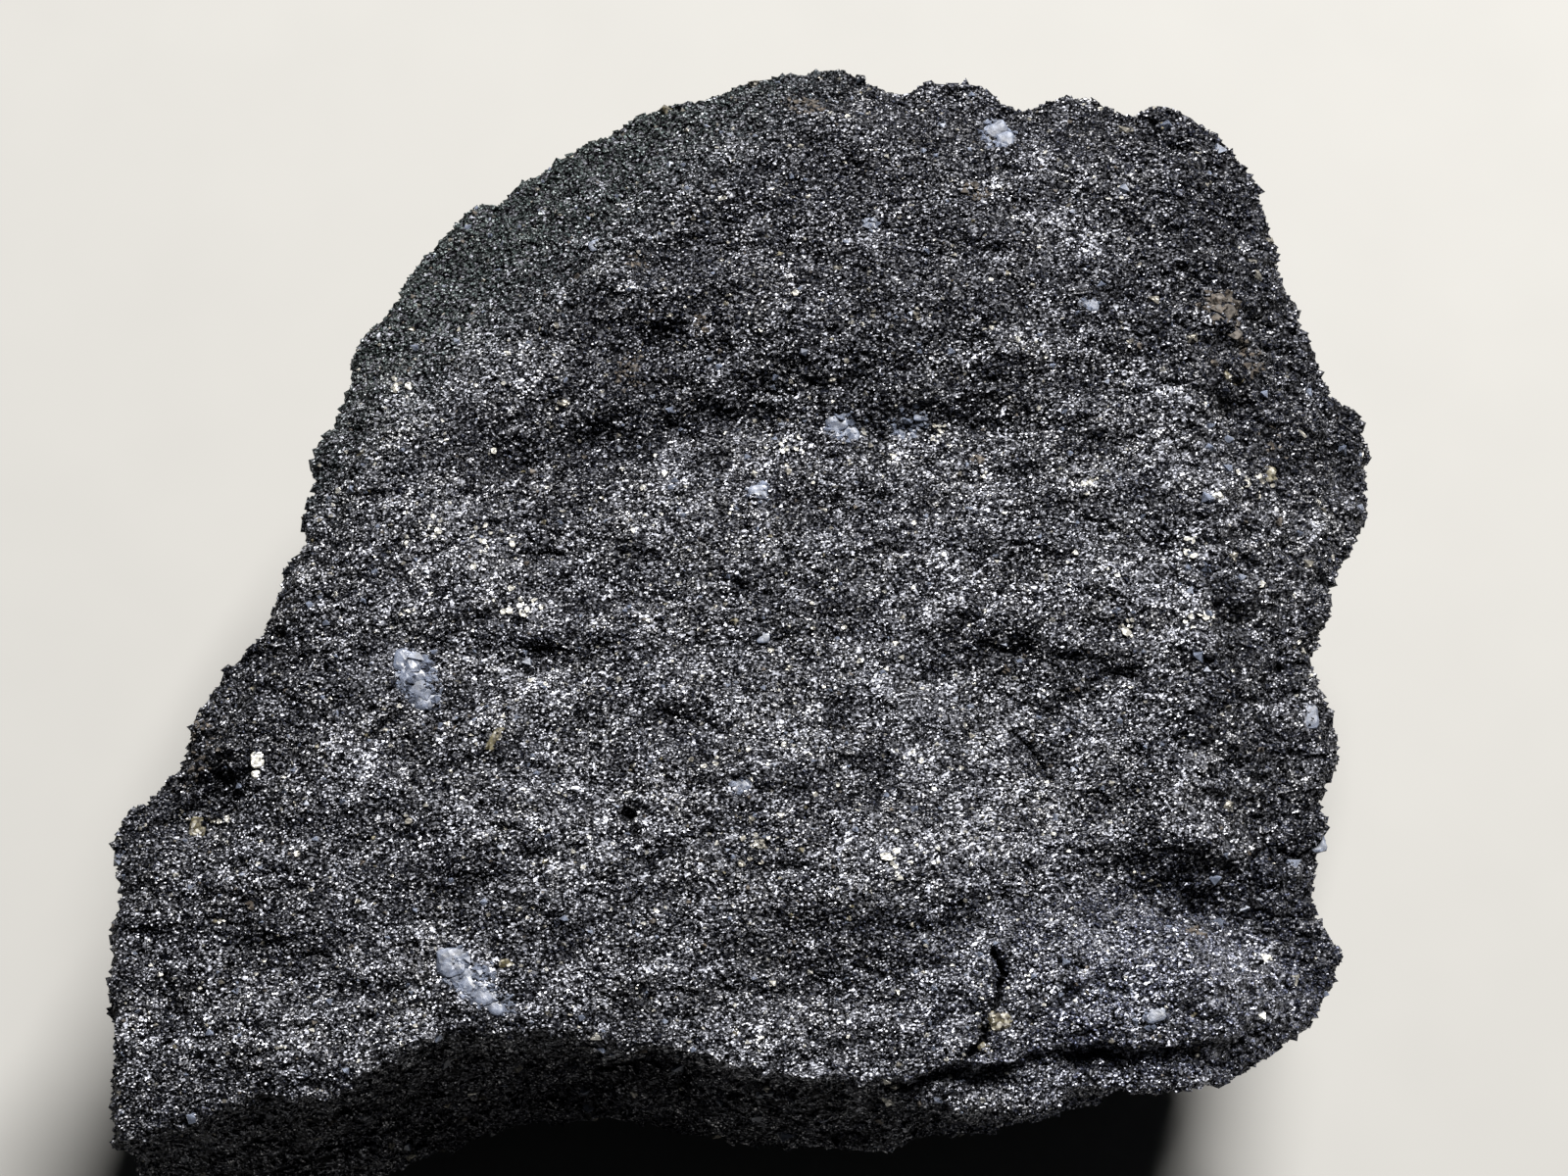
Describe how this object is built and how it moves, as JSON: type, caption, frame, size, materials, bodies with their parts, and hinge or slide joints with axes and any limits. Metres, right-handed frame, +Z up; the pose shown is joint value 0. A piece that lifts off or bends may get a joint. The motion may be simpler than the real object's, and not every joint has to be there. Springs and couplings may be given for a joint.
{
  "type": "magnetite specimen",
  "caption": "Broken block of fine-grained, glittering dark grey magnetite ore with one broad rough face, a hand specimen that rests flat on a shelf or table.",
  "frame": {"origin": "middle of the footprint, on the surface that the block rests on", "axes": "+X along the block's long side, +Y across the broad face from its near edge to its far edge, +Z up, out of the broad face"},
  "size_m": [0.103, 0.0932, 0.0418],
  "materials": {
    "magnetite_ore": "rough broken surface of small dark grey metallic crystals that glitter"
  },
  "bodies": {
    "root": {"magnetite_block": "magnetite_ore"}
  },
  "joints": []
}
